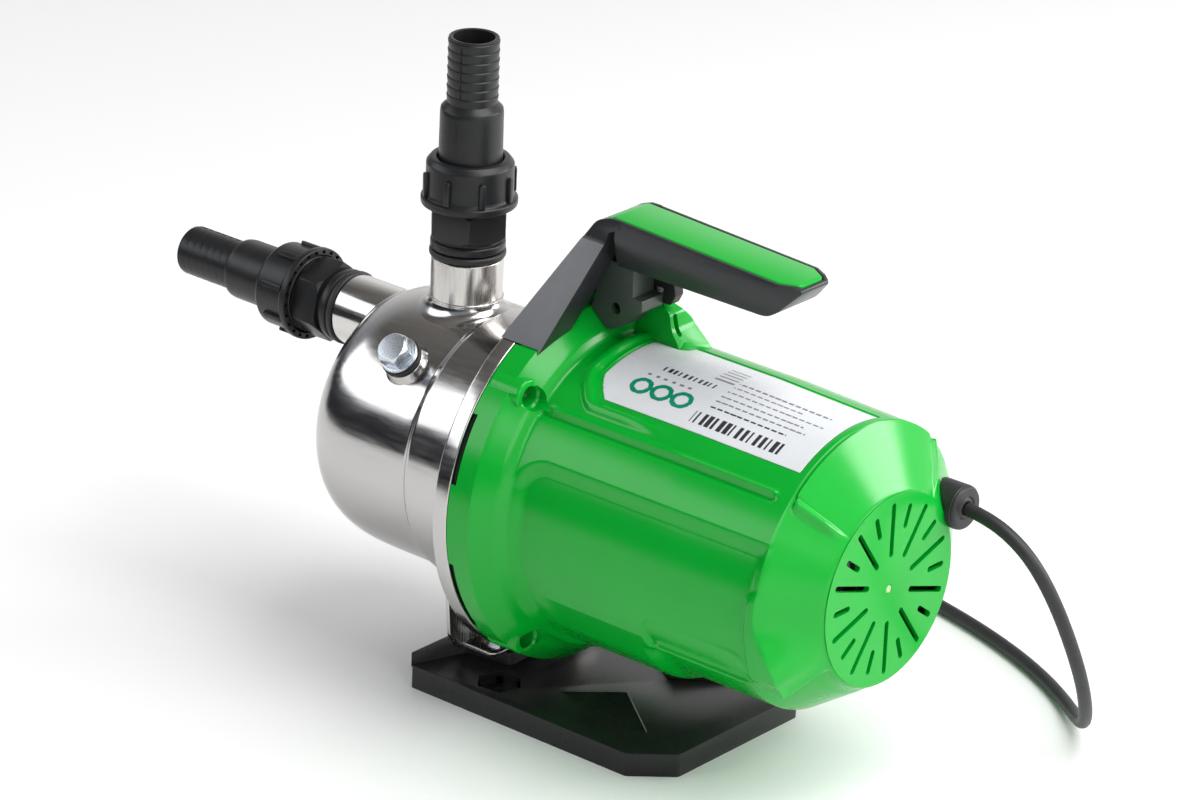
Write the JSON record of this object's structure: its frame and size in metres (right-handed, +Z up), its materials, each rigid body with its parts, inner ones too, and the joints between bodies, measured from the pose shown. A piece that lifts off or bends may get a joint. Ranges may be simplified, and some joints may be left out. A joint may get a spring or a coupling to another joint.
{
  "type": "shallow well jet pump",
  "caption": "Garden jet pump with a pressed steel casing, moulded motor shroud on a flat base, carrying handle, two hose unions and a mains lead.",
  "frame": {"origin": "centre of the base's flat underside", "axes": "+X along the motor shaft from the suction port to the rear grille, +Z up, +Y to the side where the mains lead leaves"},
  "size_m": [0.5257, 0.3249, 0.325],
  "materials": {
    "stainless_steel": "mirror polished pressed sheet",
    "zinc_plated": "bright zinc plating",
    "shaft_steel": "ground steel",
    "lamination_steel": "stacked laminations",
    "winding_copper": "varnished copper wire",
    "brass_cast": "machined brass",
    "cast_bracket": "black coated casting",
    "shroud_green": "glossy bright green moulding",
    "base_plastic": "satin black moulding",
    "handle_grey": "fine textured dark grey moulding",
    "fitting_plastic": "black polypropylene",
    "moulded_nylon": "natural nylon",
    "seal_ceramic": "lapped ceramic",
    "rubber_black": "black rubber",
    "label_film": "printed plastic film"
  },
  "bodies": {
    "pump_body": {"base": "base_plastic", "foot_bracket": "stainless_steel", "foot_bolt_right": "zinc_plated", "foot_bolt_left": "zinc_plated", "casing": "stainless_steel", "casing_flange": "stainless_steel", "discharge_socket": "stainless_steel", "suction_socket": "stainless_steel", "jet_nozzle": "moulded_nylon", "venturi_tube": "moulded_nylon", "diffuser": "moulded_nylon", "seal_seat": "seal_ceramic", "casing_seal_ring": "rubber_black", "motor_bracket": "cast_bracket", "shroud_screw_1": "zinc_plated", "shroud_screw_2": "zinc_plated", "shroud_screw_3": "zinc_plated", "shroud_screw_4": "zinc_plated", "stator_core": "lamination_steel", "winding_front": "winding_copper", "winding_rear": "winding_copper", "bearing_front": "shaft_steel", "bearing_rear": "shaft_steel", "rear_end_shield": "cast_bracket", "motor_shroud": "shroud_green", "rating_label": "label_film", "handle_body": "handle_grey", "handle_cover": "shroud_green", "handle_bracket": "base_plastic", "handle_foot": "base_plastic", "discharge_thread_seal": "rubber_black", "discharge_nipple": "fitting_plastic", "discharge_nipple_thread": "fitting_plastic", "suction_thread_seal": "rubber_black", "suction_nipple": "fitting_plastic", "suction_nipple_thread": "fitting_plastic", "capacitor": "moulded_nylon", "cable_gland": "rubber_black", "mains_lead": "rubber_black", "mains_lead_coil": "rubber_black", "mains_lead_end": "rubber_black", "mains_plug": "rubber_black", "plug_pin_1": "brass_cast", "plug_pin_2": "brass_cast"},
    "rotor": {"motor_shaft": "shaft_steel", "rotor_core": "lamination_steel", "impeller": "brass_cast", "impeller_nut": "zinc_plated", "seal_spring": "zinc_plated", "seal_rotating_face": "rubber_black", "cooling_fan": "fitting_plastic"},
    "discharge_tail": {"discharge_hose_tail": "fitting_plastic", "discharge_gasket": "rubber_black"},
    "discharge_nut": {"discharge_union_nut": "fitting_plastic"},
    "suction_tail": {"suction_hose_tail": "fitting_plastic", "suction_gasket": "rubber_black"},
    "suction_nut": {"suction_union_nut": "fitting_plastic"},
    "plug_washer": {"priming_washer": "rubber_black"},
    "plug": {"priming_plug": "zinc_plated", "priming_plug_thread": "zinc_plated"}
  },
  "joints": [
    {"name": "rotor_spin", "type": "hinge", "parent": "pump_body", "child": "rotor", "pos_m": [0, 0, 0.1145], "axis": [1, 0, 0], "continuous": true},
    {"name": "discharge_tail_lift", "type": "slide", "parent": "pump_body", "child": "discharge_tail", "axis": [0, 0, 1], "range_m": [0, 0.009]},
    {"name": "discharge_nut_turn", "type": "hinge", "parent": "discharge_tail", "child": "discharge_nut", "pos_m": [-0.1065, 0, 0.2495], "axis": [0, 0, 1], "range_deg": [0, 1080]},
    {"name": "suction_tail_lift", "type": "slide", "parent": "pump_body", "child": "suction_tail", "axis": [-1, 0, 0], "range_m": [0, 0.009]},
    {"name": "suction_nut_turn", "type": "hinge", "parent": "suction_tail", "child": "suction_nut", "pos_m": [-0.2208, 0, 0.1582], "axis": [-1, 0, 0], "range_deg": [0, 1080]},
    {"name": "priming_plug_lift", "type": "slide", "parent": "pump_body", "child": "plug_washer", "axis": [0, -0.682, 0.7314], "range_m": [0, 0.0105]},
    {"name": "priming_plug_turn", "type": "hinge", "parent": "plug_washer", "child": "plug", "pos_m": [-0.104, -0.04706, 0.16496], "axis": [0, -0.682, 0.7314], "range_deg": [0, 2520]}
  ],
  "couplings": [
    {"joint": "discharge_nut_turn", "follows": "discharge_tail_lift", "rad_per_m": 2094.4},
    {"joint": "suction_nut_turn", "follows": "suction_tail_lift", "rad_per_m": 2094.4},
    {"joint": "priming_plug_turn", "follows": "priming_plug_lift", "rad_per_m": 4188.8}
  ]
}
